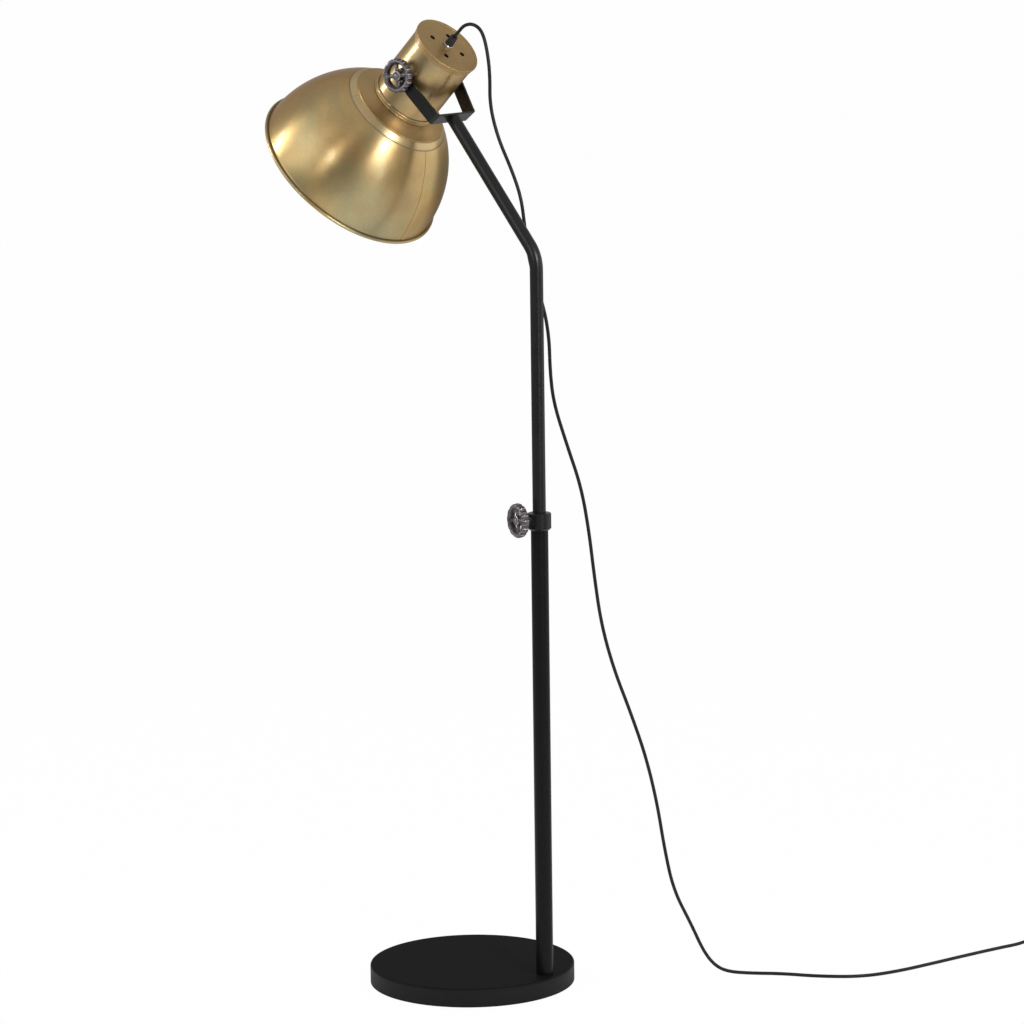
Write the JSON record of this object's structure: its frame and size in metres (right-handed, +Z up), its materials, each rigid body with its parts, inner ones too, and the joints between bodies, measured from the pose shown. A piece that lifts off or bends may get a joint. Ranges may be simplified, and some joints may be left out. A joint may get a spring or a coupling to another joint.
{
  "type": "adjustable floor lamp",
  "caption": "Floor lamp with a spun brass dome shade on a tilting yoke, a leaning arm on a telescopic black pole with a clamp handwheel, a round heavy base and a free supply cord.",
  "frame": {"origin": "centre of the round base, on the floor", "axes": "+Z up; the arm and the head lie in a plane parallel to XZ with the shade towards -X; the pictured side is -Y"},
  "size_m": [0.9257, 0.9953, 1.4034],
  "materials": {
    "black_paint": "satin black paint",
    "iron": "rough cast",
    "felt": "felt",
    "steel": "plain turned",
    "nylon": "plain moulded",
    "cord_sheath": "round lead, satin",
    "black_plastic": "fine grain",
    "gunmetal": "dark cast metal",
    "brass_shade": "antique, blotchy",
    "brass_housing": "antique, blotchy",
    "nickel": "nickel plate",
    "holder": "plain moulded",
    "bulb_metal": "rolled",
    "bulb_glass": "frosted"
  },
  "bodies": {
    "stand": {"base_cover": "black_paint", "base_weight": "iron", "base_pad": "felt", "foot_washer": "steel", "foot_bolt": "steel", "foot_plug": "steel", "lower_tube": "black_paint", "collar": "black_paint", "guide_bush": "nylon", "cord_drop": "cord_sheath", "cord_floor": "cord_sheath", "cord_coil": "cord_sheath", "coil_tie": "black_plastic", "switch_body": "black_plastic", "plug_body": "black_plastic", "plug_pins": "nickel"},
    "clamp": {"clamp_screw": "steel", "clamp_wheel": "gunmetal"},
    "slider": {"slide_bush": "nylon", "cord_pole": "cord_sheath"},
    "arm": {"upper_tube": "black_paint", "yoke": "black_paint", "tilt_stop": "black_paint", "cord_head": "cord_sheath"},
    "head": {"housing": "brass_housing", "pivot_bosses": "steel", "friction_washers": "nylon", "outer_washers": "steel", "pivot_screw": "steel", "cap": "brass_housing", "gland_nut": "nickel", "cord_grip": "black_plastic", "nipple": "steel", "nipple_nut": "steel", "lamp_holder": "holder", "bulb_cap": "bulb_metal", "bulb_glass": "bulb_glass", "shade_neck": "brass_shade", "shade_crown": "brass_shade", "shade_near": "brass_shade", "shade_far": "brass_shade", "shade_rim": "brass_shade", "flange_ring": "steel", "flange_screws": "steel"},
    "tilt_knob": {"tilt_screw": "steel", "tilt_wheel": "gunmetal"},
    "rocker": {"switch_rocker": "black_plastic"}
  },
  "joints": [
    {"name": "clamp_turn", "type": "hinge", "parent": "stand", "child": "clamp", "pos_m": [0.11341, -0.02138, 0.69925], "axis": [-0.3746, -0.9272, 0], "range_deg": [0, 180]},
    {"name": "height_slide", "type": "slide", "parent": "stand", "child": "slider", "axis": [0, 0, 1], "range_m": [-0.25, 0.2], "deforming": ["cord_drop"]},
    {"name": "swivel", "type": "hinge", "parent": "slider", "child": "arm", "pos_m": [0.12652, 0.01107, 0.9], "axis": [0, 0, 1], "range_deg": [-90, 90], "deforming": ["cord_pole"]},
    {"name": "head_tilt", "type": "hinge", "parent": "arm", "child": "head", "pos_m": [-0.0705, 0.01107, 1.32756], "axis": [0, 1, 0], "range_deg": [-25, 50], "deforming": ["cord_head"]},
    {"name": "tilt_turn", "type": "hinge", "parent": "head", "child": "tilt_knob", "pos_m": [-0.0705, -0.05143, 1.32756], "axis": [0, -1, 0], "range_deg": [0, 180]},
    {"name": "switch_rock", "type": "hinge", "parent": "stand", "child": "rocker", "pos_m": [0.579, 0.69257, 0.012], "axis": [-0.9325, 0.3612, 0], "range_deg": [0, 16]}
  ]
}
